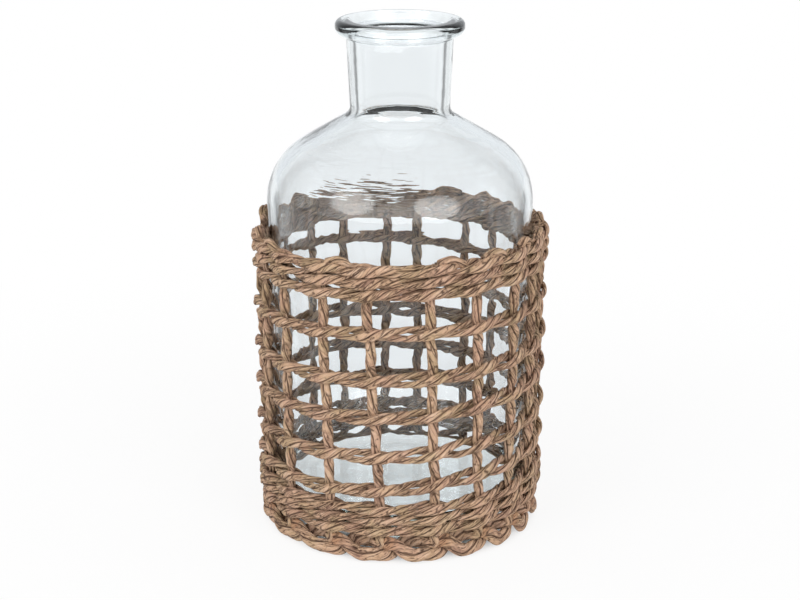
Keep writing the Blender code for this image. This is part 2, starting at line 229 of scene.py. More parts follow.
# The cut end's spiral of paper
CUT_GRAIN = 1400.0
CUT_TURNS = 2.6
CUT_WAVER = 0.5
CUT_EDGE = (0.12, 0.4)
CUT_DARKNESS = 0.2
CUT_RIM = (0.55, 1.0)
CUT_BUMP = 0.8
CUT_RELIEF = 0.0004
CUT_ROUGHNESS = 0.9

# The bottle's outline: radius, height and fillet of each corner
GLASS_OUTSIDE = (
    (0.0403, 0.0035, 0.009), (0.0415, 0.1159, 0.021), (0.0153, 0.1315, 0.0035),
    (0.0164, 0.1552, 0.0011), (0.0198, 0.1552, 0.0026), (0.0198, 0.1600, 0.0019),
)
GLASS_INSIDE = (
    (0.0139, 0.1600, 0.0022), (0.0126, 0.12998, 0.0062), (0.0388, 0.11438, 0.0183),
    (0.0376, 0.0122, 0.005),
)
GLASS_LIFT = 0.0035
GLASS_FLOOR = 0.0122

# The glass's waves, and the fine streaks on the left of its shoulder's front
GLASS_INDEX = 1.5
WAVE_SCALE, WAVE_SHARE = 32.0, 0.4
FINE_WAVE_SCALE, FINE_WAVE_SHARE = 230.0, 0.035
STREAK_ROUND, STREAK_UP, STREAK_SHARE = 150.0, 1300.0, 0.14
STREAK_LOW, STREAK_HIGH = (0.108, 0.114), (0.119, 0.124)
STREAK_LEFT, STREAK_RIGHT = (-0.030, -0.022), (-0.002, 0.012)
STREAK_FRONT = 0.02
GLASS_BUMP = 0.5
GLASS_RELIEF = 0.002

# The stage: lamps, camera and floor
LAMP_SPOTS = (("lamp_left", (-0.78, -0.78, 0.65)), ("lamp_right", (0.63, -0.95, 0.59)))
LAMP_SIZE = 0.85
LAMP_AIM = (0.0, 0.0, 0.07)
CAMERA_SPOT = (0.0, -0.562, 0.251)
CAMERA_PITCH = math.radians(17.8)
CAMERA_SENSOR = 36.0
CAMERA_NEAR = 0.01
FLOOR_SIDES = 96
FLOOR_RADIUS = 4.0
FLOOR_DROP = 0.0002
FLOOR_ROUGHNESS = 0.9
WHITE = (1.0, 1.0, 1.0)

# How white the floor is: for the camera it keeps the shadow by the foot, and for the glass it
# darkens in front and in a band behind, which draws the thin dark line down the glass's sides
FLOOR_CLEAR, FLOOR_CLEAR_SHARE = (0.034, 0.046), 0.88
FLOOR_FAR, FLOOR_FAR_SHARE = (0.05, 0.3), 0.12
BENT_CLEAR, BENT_CLEAR_SHARE, BENT_NEAR_SHARE = (0.02, 0.05), 0.25, 0.7
BENT_DIMMED = (0.045, 0.12)
BENT_FLOOR_COLOUR = (0.965, 0.985, 1.0)
FLAG_START, FLAG_END = (0.45, 0.6), (0.68, 0.8)
FLOOR_FLAG = 0.75
FLOOR_FRONT, FLOOR_FRONT_SHARE = (-0.4, 0.4), 0.45

# How bright the sky is by direction, for rays that the glass bends or mirrors
SKY_FRONT, SKY_FRONT_TOP, SKY_FRONT_LEVEL = (-0.7, -0.2), (0.4, 0.65), 3.0
SKY_SIDES_START, SKY_SIDES_END, SKY_SIDES_TOP = (-0.7, -0.3), (0.1, 0.45), (0.5, 0.7)
SKY_LEVEL = 0.9
SKY_FLAG = 0.6
MIRRORED_BACK, MIRRORED_BACK_LEVEL, MIRRORED_LEVEL = (0.3, 0.95), 0.7, 0.25
BENT_SKY_COLOUR = (0.93, 0.965, 1.0)


class BottleSettings(bpy.types.PropertyGroup):
    """Sizes and finish of the glass bottle."""

    sides: IntProperty(name="Sides", description="Facets round the bottle", default=160, min=12)
    arc_step: FloatProperty(name="Arc step", description="Turn between points of a rounding",
                            default=math.radians(7.0), subtype="ANGLE")
    tint: FloatVectorProperty(name="Tint", description="Colour that thick glass takes",
                              default=(0.62, 0.83, 0.80), size=3, subtype="COLOR")
    density: FloatProperty(name="Tint density", description="Depth of the tint for each metre",
                           default=14.0)
    surface: FloatVectorProperty(name="Surface", size=3, subtype="COLOR",
                                 description="Share of light that each face lets in",
                                 default=(0.972, 0.978, 0.984))


class CordSettings(bpy.types.PropertyGroup):
    """Sizes and colours of the twisted paper cord."""

    step: FloatProperty(name="Ring step", description="Distance between rings of a cord",
                        default=0.0007, unit="LENGTH")
    strand_turn: FloatProperty(name="Strand turn", description="Length of one turn of its plies",
                               default=0.0165, unit="LENGTH")
    stake_turn: FloatProperty(name="Stake turn", description="Length of one turn of its plies",
                              default=0.025, unit="LENGTH")
    groove: FloatProperty(name="Groove", default=0.30,
                          description="Depth of the groove between plies, as a share")
    strand_height: FloatProperty(name="Strand height", description="Height of a strand on a stake",
                                 default=0.0036, unit="LENGTH")
    stake_width: FloatProperty(name="Stake width", description="Width of a stake",
                               default=0.0033, unit="LENGTH")
    hook_width: FloatProperty(name="Hook width", description="Width of a stake's turned-over end",
                              default=0.0025, unit="LENGTH")
    light: FloatVectorProperty(name="Light paper", description="Colour of the raised fibres",
                               default=(0.65, 0.45, 0.315), size=3, subtype="COLOR")
    middle: FloatVectorProperty(name="Paper", description="Main colour of the cord",
                                default=(0.54, 0.345, 0.218), size=3, subtype="COLOR")
    pink: FloatVectorProperty(name="Pink paper", description="Colour of the redder patches",
                              default=(0.52, 0.305, 0.22), size=3, subtype="COLOR")
    olive: FloatVectorProperty(name="Olive paper", description="Colour of the greener patches",
                               default=(0.45, 0.325, 0.18), size=3, subtype="COLOR")
    # The low end of the paper's random tone, and also the colour of the painted shade in the
    # creases and grooves
    dark_paper_and_fold_shade: FloatVectorProperty(name="Dark paper", description="Colour in the folds",
                              default=(0.045, 0.015, 0.005), size=3, subtype="COLOR")
    cut: FloatVectorProperty(name="Cut end", description="Colour of the cut ends",
                             default=(0.40, 0.19, 0.095), size=3, subtype="COLOR")


class StageSettings(bpy.types.PropertyGroup):
    """Floor, light and camera."""

    daylight: FloatProperty(name="Daylight", description="Plain light from all round", default=0.68)
    lamp_power: FloatProperty(name="Lamp power", description="Power of each soft lamp, in watts",
                              default=6.2)
    floor_grey: FloatProperty(name="Floor", description="How much light the floor gives back",
                              default=0.9)
    lens: FloatProperty(name="Lens", description="Focal length in millimetres", default=83.745)


class Value:
    """A shader value on which Python's arithmetic adds Math nodes."""

    def __init__(self, tree, socket=None):
        self.tree, self.socket = tree, socket

    def add(self, kind, settings=None, sockets=None, output=0):
        """Add a node of a type, make its settings, then fill its sockets with values or links."""
        node = self.tree.nodes.new(kind)
        for name, setting in (settings or {}).items():
            if name == "stops":
                while len(node.color_ramp.elements) < len(setting):
                    node.color_ramp.elements.new(1.0)
                for element, (position, colour) in zip(node.color_ramp.elements, setting):
                    element.position, element.color = position, (*colour, 1.0)
            else:
                setattr(node, name, setting)
        for name, value in (sockets or {}).items():
            if isinstance(value, Value):
                self.tree.links.new(value.socket, node.inputs[name])
            else:
                node.inputs[name].default_value = value
        return Value(self.tree, node.outputs[output])

    def output(self, name):
        """Another output of the node that this value comes from."""
        return Value(self.tree, self.socket.node.outputs[name])

    def maths(self, operation, first, second=0.0):
        """A Math node of two values or numbers."""
        return self.add("ShaderNodeMath", {"operation": operation}, {0: first, 1: second})

    def __add__(self, other):
        return self.maths("ADD", self, other)

    def __sub__(self, other):
        return self.maths("SUBTRACT", self, other)

    def __mul__(self, other):
        return self.maths("MULTIPLY", self, other)

    def __truediv__(self, other):
        return self.maths("DIVIDE", self, other)

    def __radd__(self, other):
        return self.maths("ADD", other, self)

    def __rsub__(self, other):
        return self.maths("SUBTRACT", other, self)

    def __rmul__(self, other):
        return self.maths("MULTIPLY", other, self)

    def fraction(self):
        """What is left above the whole number."""
        return self.maths("FRACT", self)

    def size(self):
        """The value without its sign."""
        return self.maths("ABSOLUTE", self)

    def larger(self, other):
        """The larger of two values."""
        return self.maths("MAXIMUM", self, other)

    def ease(self, low, high):
        """Rise smoothly from 0 at low to 1 at high."""
        return self.add("ShaderNodeMapRange", {"interpolation_type": "SMOOTHSTEP"},
                        {"Value": self, "From Min": low, "From Max": high})

    def split(self):
        """The first number of this vector; its node's other outputs are the other two."""
        return self.add("ShaderNodeSeparateXYZ", None, {0: self})

    def join(self, across, up):
        """A vector of this value and two others."""
        return self.add("ShaderNodeCombineXYZ", None, {0: self, 1: across, 2: up})

    def noise(self, scale, detail=3.0, roughness=0.5):
        """Noise on this vector."""
        return self.add("ShaderNodeTexNoise", None, {"Vector": self, "Scale": scale,
                                                     "Detail": detail, "Roughness": roughness})

    def cells(self, feature, output):
        """Cell texture on this vector."""
        return self.add("ShaderNodeTexVoronoi", {"feature": feature},
                        {"Vector": self, "Scale": 1.0}, output=output)

    def mix(self, first, second):
        """Colour that goes from first to second with this value."""
        first, second = ((*c, 1.0) if isinstance(c, tuple) else c for c in (first, second))
        return self.add("ShaderNodeMix", {"data_type": "RGBA"}, {0: self, 6: first, 7: second},
                        output=2)

    def relief(self, strength, distance):
        """Normal that this value bumps."""
        return self.add("ShaderNodeBump", None, {"Strength": strength, "Distance": distance,
                                                 "Height": self})

    def object_place(self):
        """Where a point lies on the piece itself."""
        return self.add("ShaderNodeTexCoord", output="Object")

    def into(self, node, name):
        """Link the value to a node's socket."""
        self.tree.links.new(self.socket, node.inputs[name])


def new_material(name, roughness):
    """A Principled material, its shader node and a bare Value on its tree."""
    material = bpy.data.materials.new(name)
    material.use_nodes = True
    shader = material.node_tree.nodes["Principled BSDF"]
    shader.inputs["Roughness"].default_value = roughness
    return material, shader, Value(material.node_tree)


def cord_material(settings):
    """Twisted kraft paper: long facets along the plies with thin creases between them, and painted
    shade that darkens these creases and the grooves between the plies.

    The cord's own map holds the length in metres and the share of the way round, and turns
    with the plies. Facets are cells stretched along that map.
    """
    material, shader, start = new_material("kraft_paper_cord", PAPER_ROUGHNESS)
    along = start.add("ShaderNodeUVMap", {"uv_map": CORD_MAP}).split()
    around = along.output(1)
    place = start.object_place()
    patches = place.noise(PATCH_SCALE, detail=2.0)
    ply = (around * PLY_COUNT).fraction() - 0.5
    # The grooves between the plies: sunk by the relief, and darkened as painted shade
    groove = ply.size().ease(*GROOVE_EDGE)
    bend = (along * BEND_ALONG).join(around * BEND_ROUND, patches * BEND_PATCHES)
    bend = bend.noise(1.0, detail=2.0) - 0.5
    leaf = (along * FACET_ALONG).join(around * FACET_ROUND + bend * FACET_BEND,
                                      patches * FACET_PATCHES)
    facet = leaf.cells("F1", "Color")
    edge = leaf.cells("DISTANCE_TO_EDGE", "Distance")
    fibres = (along * FIBRE_ALONG).join(around * FIBRE_ROUND, patches * FIBRE_PATCHES).noise(1.0)
    flecks = (along * FLECK_ALONG).join(around * FLECK_ROUND + bend * FLECK_BEND,
                                        along * FLECK_DRIFT).noise(1.0, detail=2.0)
    # Where the painted shade of the creases falls: along the facets' edges, broken up by flecks
    crease_shade_mask = (1.0 - edge.ease(0.0, CREASE_WIDTH)) * flecks.ease(*CREASE_FLECKS)
    frayed = 1.0 - (along + flecks * FRAY_FLECKS).ease(*FRAY_LENGTH)
    shade = (facet * FACET_SHADE + fibres * FIBRE_SHADE + flecks * FLECK_SHADE
             + patches * PATCH_SHADE - SHADE_SHIFT)
    colours = (settings.dark_paper_and_fold_shade, settings.middle, settings.middle, settings.light)
    paper = shade.add("ShaderNodeValToRGB", {"stops": [
        (stop, tuple(colour)) for stop, colour in zip(SHADE_STOPS, colours)]}, {0: shade})
    pink = place.noise(TONE_SCALE, detail=1.0).ease(*PINK_TONE) * TONE_DEPTH
    olive = (1.0 - place.noise(TONE_SCALE, detail=1.0).ease(*OLIVE_TONE)) * TONE_DEPTH
    paper = olive.mix(pink.mix(paper, tuple(settings.pink)), tuple(settings.olive))
    paper = (frayed * FRAY_DEPTH).mix(paper, tuple(settings.cut))
    # Painted shade: the colour is darkened in the creases and in the grooves between the plies
    painted_fold_shade = (crease_shade_mask * CREASE_PAINTED_SHADE).larger(
        groove * (flecks * GROOVE_FLECKS + GROOVE_PAINTED_SHADE))
    painted_fold_shade.mix(paper, tuple(settings.dark_paper_and_fold_shade)).into(shader, "Base Color")
    relief = (facet * FACET_RELIEF + edge.ease(0.0, EDGE_WIDTH) * EDGE_RELIEF
              + fibres * FIBRE_RELIEF + flecks * FLECK_RELIEF - groove * GROOVE_RELIEF)
    relief.relief(PAPER_BUMP, PAPER_RELIEF).into(shader, "Normal")
    return material


def cut_material(settings):
    """Cut cord end: a reddish spiral of paper. The map holds the share out and the share round."""
    material, shader, start = new_material("cut_paper_end", CUT_ROUGHNESS)
    out = start.add("ShaderNodeUVMap", {"uv_map": CORD_MAP}).split()
    around = out.output(1)
    grain = start.object_place().noise(CUT_GRAIN, detail=3.0)
    spiral = (out * CUT_TURNS + around + grain * CUT_WAVER).fraction() - 0.5
    spiral = spiral.size().ease(*CUT_EDGE)
    colour = (spiral * (grain + CUT_DARKNESS)).mix(tuple(settings.cut), tuple(settings.dark_paper_and_fold_shade))
    out.ease(*CUT_RIM).mix(colour, tuple(settings.middle)).into(shader, "Base Color")
    (1.0 - spiral).relief(CUT_BUMP, CUT_RELIEF).into(shader, "Normal")
    return material


def glass_material(settings):
    """Clear pressed glass that is faintly grey at each face and green where it is thick."""
    material, shader, start = new_material("pale_green_glass", 0.0)
    shader.inputs["Base Color"].default_value = (*settings.surface, 1.0)
    shader.inputs["Transmission Weight"].default_value = 1.0
    shader.inputs["IOR"].default_value = GLASS_INDEX
    place = start.object_place()
    side = place.split()
    front, height = side.output(1), side.output(2)
    band = height.ease(*STREAK_LOW) * (1.0 - height.ease(*STREAK_HIGH))
    band = (band * side.ease(*STREAK_LEFT) * (1.0 - side.ease(*STREAK_RIGHT))
            * (-1.0 * front).ease(0.0, STREAK_FRONT))
    streaks = (side * STREAK_ROUND).join(front * STREAK_ROUND, height * STREAK_UP)
    streaks = streaks.noise(1.0, detail=1.0)
    ripple = (place.noise(WAVE_SCALE, detail=1.0) * WAVE_SHARE
              + place.noise(FINE_WAVE_SCALE, detail=1.0) * FINE_WAVE_SHARE
              + streaks * band * STREAK_SHARE)
    ripple.relief(GLASS_BUMP, GLASS_RELIEF).into(shader, "Normal")
    depth = start.add("ShaderNodeVolumeAbsorption", None,
                      {"Color": (*settings.tint, 1.0), "Density": settings.density})
    depth.into(material.node_tree.nodes["Material Output"], "Volume")
    return material


def make_piece(name, points, faces, materials, face_map=None, face_slots=None):
    """Turn points, faces and each face corner's map place into a smooth piece."""
    mesh = bpy.data.meshes.new(name)
    mesh.from_pydata(points, [], faces)
    if face_map is not None:
        layer = mesh.uv_layers.new(name=CORD_MAP)
        layer.uv.foreach_set("vector", np.asarray(face_map, dtype=np.float32).ravel())
    if face_slots is not None:
        mesh.polygons.foreach_set("material_index", np.asarray(face_slots, dtype=np.int32))
    mesh.shade_smooth()
    for material in materials:
        mesh.materials.append(material)
    mesh.validate()
    mesh.update()
    piece = bpy.data.objects.new(name, mesh)
    bpy.context.scene.collection.objects.link(piece)
    return piece


def ring_quads(rings, count):
    """Quads between rings: a point, the next one round, and the two above them."""
    ring = np.arange(rings - 1)[:, None]
    side = np.arange(count)[None, :]
    beside = (side + 1) % count
    return np.stack([ring * count + side, ring * count + beside,
                     (ring + 1) * count + beside, (ring + 1) * count + side],
                    axis=-1).reshape(-1, 4)


def end_fans(rings, count):
    """Triangles from the first and the last ring to a middle point each, stored after the rings."""
    side = np.arange(count)
    beside = (side + 1) % count
    last = (rings - 1) * count
    first_fan = np.stack([side, np.full(count, rings * count), beside], axis=-1)
    last_fan = np.stack([last + side, last + beside, np.full(count, rings * count + 1)], axis=-1)
    return first_fan, last_fan


def mixed(start, end, share):
    """Value between start and end at a share of the way."""
    return start + (end - start) * share


def eased(value, low, high):
    """0 below low, 1 above high and a smooth rise between: three times the square of the share,
    less twice its cube."""
    share = np.clip((value - low) / (high - low), 0.0, 1.0)
    return share * share * (3.0 - 2.0 * share)


def wander(places, seed, wave):
    """Slow unevenness between -1 and 1 along a cord: the mean of three sines of mixed waves."""
    rng = np.random.default_rng(seed)
    size = (len(WANDER_WAVES), 1)
    waves = wave * np.array(WANDER_WAVES)[:, None] * rng.uniform(*WANDER_SPREAD, size)
    phases = rng.uniform(0.0, math.tau, size)
    return np.mean(np.sin(math.tau * places[None, :] / waves + phases), axis=0)


def place(turns, radii, heights):
    """Points at angles in turns: radius times sine, minus radius times cosine, and height."""
    angles = np.asarray(turns) * math.tau
    return np.stack([radii * np.sin(angles), -radii * np.cos(angles), heights + 0 * angles], axis=1)


def outward(turns):
    """Level directions away from the axis: sine and minus cosine of the angle."""
    angles = np.asarray(turns) * math.tau
    return np.stack([np.sin(angles), -np.cos(angles), 0 * angles], axis=1)


def stake_radius(height):
    """Radius of the stakes' middle line: the glass wall's, evenly wider upwards, plus a gap."""
    (foot, _, _), (shoulder, shoulder_height, _) = GLASS_OUTSIDE[:2]
    share = (height - GLASS_LIFT) / (shoulder_height - GLASS_LIFT)
    return mixed(foot, shoulder, share) + STAKE_GAP


def row_height_at(turns):
    """Height of the climbing pair's middle line after a number of turns, straight between the
    given ones."""
    return np.interp(turns, ROW_TURNS, ROW_HEIGHTS)


def stake_turn(numbers, heights):
    """Angle of stakes at given heights, in turns: each leans evenly from foot to rim."""
    share = np.clip((heights - FOOT_ROW) / (RIM_ROW - FOOT_ROW), 0.0, 1.0)
    foot = np.array(FOOT_SHIFTS)[numbers % STAKE_COUNT]
    rim = np.array(RIM_SHIFTS)[numbers % STAKE_COUNT]
    return (numbers + mixed(foot, rim, share) + FRONT_SHIFT) / STAKE_COUNT


def angle_at(stakes):
    """Angle in turns at a place counted in stakes along the climb, straight between stakes."""
    numbers = np.arange(-STAKE_COUNT, LAST_STAKE + STAKE_COUNT)
    heights = row_height_at((numbers + FRONT_SHIFT) / STAKE_COUNT)
    return np.interp(stakes, numbers, stake_turn(numbers, heights))


def row_height(stakes):
    """Height of the climbing pair's middle line at a place counted in stakes."""
    return row_height_at(angle_at(stakes))


def openness(stakes):
    """How far rows stand apart: 0 where they are packed and 1 in the openwork."""
    above = row_height(stakes + STAKE_COUNT) - row_height(stakes)
    below = row_height(stakes) - row_height(stakes - STAKE_COUNT)
    return np.clip((np.minimum(above, below) - ROW_PITCH) / ROW_PITCH, 0.0, 1.0)


def smoothed_climb(stakes, step):
    """Height of the middle line, averaged along it with weights that fade to both sides."""
    heights = row_height(stakes)
    window = np.hanning(int(CLIMB_SMOOTHING * STAKE_SPACING / step))
    reach = len(window)
    padded = np.pad(heights, reach, mode="reflect", reflect_type="odd")
    return np.convolve(padded, window / window.sum(), "same")[reach:-reach]


def through_points(points, step):
    """Even points on a smooth curve through given ones.

    Each stretch is the cubic whose slope at a point is half the line between its neighbours.
    """
    points = np.asarray(points, dtype=float)
    ends = np.vstack([2 * points[0] - points[1], points, 2 * points[-1] - points[-2]])
    first, second, third, fourth = ends[:-3], ends[1:-2], ends[2:-1], ends[3:]
    share = np.linspace(0.0, 1.0, CURVE_POINTS)[:-1][None, :, None]
    curve = 0.5 * (2 * second[:, None] + (third - first)[:, None] * share
                   + (2 * first - 5 * second + 4 * third - fourth)[:, None] * share ** 2
                   + (3 * second - first - 3 * third + fourth)[:, None] * share ** 3)
    curve = np.vstack([curve.reshape(-1, points.shape[1]), points[-1]])
    steps = np.linalg.norm(np.diff(curve[:, :3], axis=0), axis=1)
    gone = np.concatenate([[0.0], np.cumsum(steps)])
    even = np.linspace(0.0, gone[-1], max(int(gone[-1] / step), LEAST_RINGS))
    return np.stack([np.interp(even, gone, curve[:, column])
                     for column in range(points.shape[1])], axis=1)


def cord_surface(centres, normals, half_depths, half_widths, groove, ply_turn, seed, turned=0.0,
                 floor=None):
    """Grid of a cord's surface and the length gone at each ring.

    Each ring is an ellipse, its depth along the normal, times the plies' outline, and it turns
    evenly along the cord. The outline is 1 less the groove's depth times a power of how near a
    point is to the next groove, so the grooves run along the grid's own lines. Each ply swells
    and thins by itself. The normals' own turning is taken off the plies' turning.
    """
    steps = np.linalg.norm(np.diff(centres, axis=0), axis=1)
    gone = np.concatenate([[0.0], np.cumsum(steps)])
    tangents = np.gradient(centres, axis=0)
    tangents /= np.linalg.norm(tangents, axis=1, keepdims=True)
    normals = normals - tangents * np.sum(normals * tangents, axis=1, keepdims=True)
    normals /= np.linalg.norm(normals, axis=1, keepdims=True)
    across = np.cross(tangents, normals)
    shares = np.arange(CORD_SIDES) / CORD_SIDES
    near = np.abs((shares * PLY_COUNT) % 1.0 - 0.5) * 2.0
    outline = 1.0 - groove * near ** GROOVE_POWER
    twist = turned - math.tau * gone / ply_turn
    twist = twist + TWIST_UNEVENNESS * wander(gone, seed + 1, TWIST_WAVE)
    angles = math.tau * shares[None, :] + twist[:, None]
    plies = np.stack([wander(gone, seed + 3 + ply, PLY_WAVE) for ply in range(PLY_COUNT)], axis=1)
    swell = (1.0 + CORD_UNEVENNESS * wander(gone, seed + 2, CORD_WAVE)[:, None]
             + PLY_UNEVENNESS * np.repeat(plies, CORD_SIDES // PLY_COUNT, axis=1))
    depth = half_depths[:, None] * swell * outline * np.cos(angles)
    width = half_widths[:, None] * swell * outline * np.sin(angles)
    grid = (centres[:, None] + normals[:, None] * depth[..., None]
            + across[:, None] * width[..., None])
    if floor is not None:
        grid[..., 2] = np.maximum(grid[..., 2], floor)
    return grid, gone


def cord_piece(name, grid, gone, materials, ends):
    """Close a cord's grid: quads between rings and a fan to the middle of each end.

    The map holds the length gone and the share round on quads, and 1 at the edge, 0 at the
    middle and the share round on fans.
    """
    rings, sides = grid.shape[:2]
    quads = ring_quads(rings, sides)
    first_fan, last_fan = end_fans(rings, sides)
    side = np.tile(np.arange(sides), rings - 1)
    low, high = np.repeat(gone[:-1], sides), np.repeat(gone[1:], sides)
    quad_map = np.stack([np.stack([low, low, high, high], axis=-1),
                         np.stack([side, side + 1, side + 1, side], axis=-1) / sides], axis=-1)
    side, edge, middle = np.arange(sides), np.ones(sides), np.zeros(sides)
    first_map = np.stack([np.stack([edge, middle, edge], axis=-1),
                          np.stack([side, side + 0.5, side + 1], axis=-1) / sides], axis=-1)
    last_map = np.stack([np.stack([edge, edge, middle], axis=-1),
                         np.stack([side, side + 1, side + 0.5], axis=-1) / sides], axis=-1)
    points = np.vstack([grid.reshape(-1, 3), grid[0].mean(axis=0), grid[-1].mean(axis=0)])
    faces = quads.tolist() + first_fan.tolist() + last_fan.tolist()
    face_map = np.vstack([part.reshape(-1, 2) for part in (quad_map, first_map, last_map)])
    slots = np.repeat([0, ends[0], ends[1]], [len(quads), sides, sides])
    return make_piece(name, points.tolist(), faces, materials, face_map, slots)


def rounded_outline(corners, step):
    """Outline through corners, each one replaced by an arc of its fillet in even turns."""
    points = []
    for index, (radius, height, fillet) in enumerate(corners[1:-1], 1):
        here = np.array([radius, height])
        back = np.array(corners[index - 1][:2]) - here
        ahead = np.array(corners[index + 1][:2]) - here
        back, ahead = back / np.linalg.norm(back), ahead / np.linalg.norm(ahead)
        half = math.acos(np.clip(np.dot(back, ahead), -1.0, 1.0)) / 2
        middle = here + (back + ahead) / np.linalg.norm(back + ahead) * fillet / math.sin(half)
        start = here + back * fillet / math.tan(half) - middle
        end = here + ahead * fillet / math.tan(half) - middle
        sweep = math.atan2(start[0] * end[1] - start[1] * end[0], np.dot(start, end))
        turns = np.linspace(0.0, sweep, max(math.ceil(abs(sweep) / step), 1) + 1)
        arc = np.stack([start[0] * np.cos(turns) - start[1] * np.sin(turns),
                        start[0] * np.sin(turns) + start[1] * np.cos(turns)], axis=1)
        points.append(middle + arc)
    return np.vstack(points)


class HOLDER_OT_bottle(bpy.types.Operator):
    """Add the glass bottle."""

    bl_idname = "holder.bottle"
    bl_label = "Glass bottle"

    def execute(self, context):
        """Turn the rounded outline about the axis: radius times sine and cosine of the angle."""
        settings = context.scene.holder_bottle
        corners = ((0.0, GLASS_LIFT, 0.0), *GLASS_OUTSIDE, *GLASS_INSIDE, (0.0, GLASS_FLOOR, 0.0))
        outline = rounded_outline(corners, settings.arc_step)
        angles = np.arange(settings.sides) / settings.sides * math.tau
        grid = np.stack([outline[:, :1] * np.sin(angles), -outline[:, :1] * np.cos(angles),
                         outline[:, 1:] + 0 * angles], axis=-1)
        points = np.vstack([grid.reshape(-1, 3), [[0, 0, GLASS_LIFT], [0, 0, GLASS_FLOOR]]])
        faces = np.concatenate(end_fans(len(outline), settings.sides)).tolist()
        faces = ring_quads(len(outline), settings.sides).tolist() + faces
        piece = make_piece("clear_glass_bottle", points.tolist(), faces, [glass_material(settings)])
        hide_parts("glass_bottle")
        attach(piece, "bottle")
        return {"FINISHED"}


def basket_piece(name, grid, gone, settings, nodes, ends=(0, 0)):
    """A cord of the basket in place of its solids; ends pick the plain or the cut material."""
    materials = [bpy.data.materials.get("kraft_paper_cord") or cord_material(settings),
                 bpy.data.materials.get("cut_paper_end") or cut_material(settings)]
    piece = cord_piece(name, grid, gone, materials, ends)
    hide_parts(*nodes)
    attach(piece, "basket")
    return piece


class HOLDER_OT_twining(bpy.types.Operator):
    """Add the climbing pair of strands."""

    bl_idname = "holder.twining"
    bl_label = "Twined strands"

    def execute(self, context):
        """Make both strands, half a swing apart."""
        settings = context.scene.holder_cord
        for strand, phase in (("a", 1), ("b", 0)):
            grid, gone = self.surface(phase, settings)
            nodes = [f"{band}_strand_{strand}" for band in ("foot_band", "openwork", "rim_band")]
            basket_piece(f"twined_strand_{strand}", grid, gone + UNCUT_START, settings, nodes)
        return {"FINISHED"}

    def surface(self, phase, settings):
        """Grid of one strand.

        It swings in and out as the cosine, and up and down as the sine, of half a turn for each
        stake, and its thin side faces the other strand. It is high on a stake's face and low
        where the strands cross.
        """
        first, last = FIRST_STAKE - phase + 1, LAST_STAKE - phase + 1
        stakes = np.linspace(first, last, int((last - first) * STAKE_SPACING / settings.step))
        swing = np.pi * (stakes + phase)
        opened = openness(stakes)
        numbers = np.arange(LAST_STAKE + 3)
        slack = np.random.default_rng(LOOSE_SEED).uniform(0.0, 1.0, len(numbers)) ** LOOSE_POWER
        loose = np.interp(stakes, numbers + 0.5, slack) * LOOSE_SPREAD * opened
        slender = eased(stakes, *SLENDER_START) * (1.0 - eased(stakes, *SLENDER_END))
        from_slits = (stakes[:, None] - np.array(SLIT_STAKES)) / SLIT_REACH
        slit = np.max(np.exp(-from_slits ** 2), axis=1)
        half_spread = (mixed(PACKED_SPREAD, OPEN_SPREAD, opened) / 2 + loose) * (
            1 - SLENDER_SPREAD * slender - SLIT_SPREAD * slit)
        side_step = half_spread * np.sin(swing)
        out_step = STRAND_OFFSET * np.cos(swing)
        heights = smoothed_climb(stakes, settings.step)
        heights = heights + ROW_UNEVENNESS * wander(stakes, ROW_SEEDS[phase], ROW_WAVE)
        turns = angle_at(stakes)
        centres = place(turns, stake_radius(heights) + out_step, heights + side_step)
        facing = np.unwrap(np.arctan2(side_step, out_step))
        rise = np.array([0.0, 0.0, 1.0])
        normals = outward(turns) * np.cos(facing)[:, None] + rise * np.sin(facing)[:, None]
        crossing = np.sin(swing) ** 2
        cross_depth = mixed(STRAND_PACKED_DEPTH, STRAND_OPEN_DEPTH, opened)
        half_depths = mixed(STRAND_FACE_DEPTH, cross_depth, crossing) * (
            1 - SLENDER_DEPTH * slender - SLIT_DEPTH * slit)
        half_heights = mixed(settings.strand_height / 2, STRAND_CROSS_HEIGHT, crossing) * (
            1 - SLENDER_HEIGHT * slender - SLIT_HEIGHT * slit)
        return cord_surface(centres, normals, half_depths, half_heights, settings.groove,
                            settings.strand_turn, STRAND_SEEDS[phase], facing)


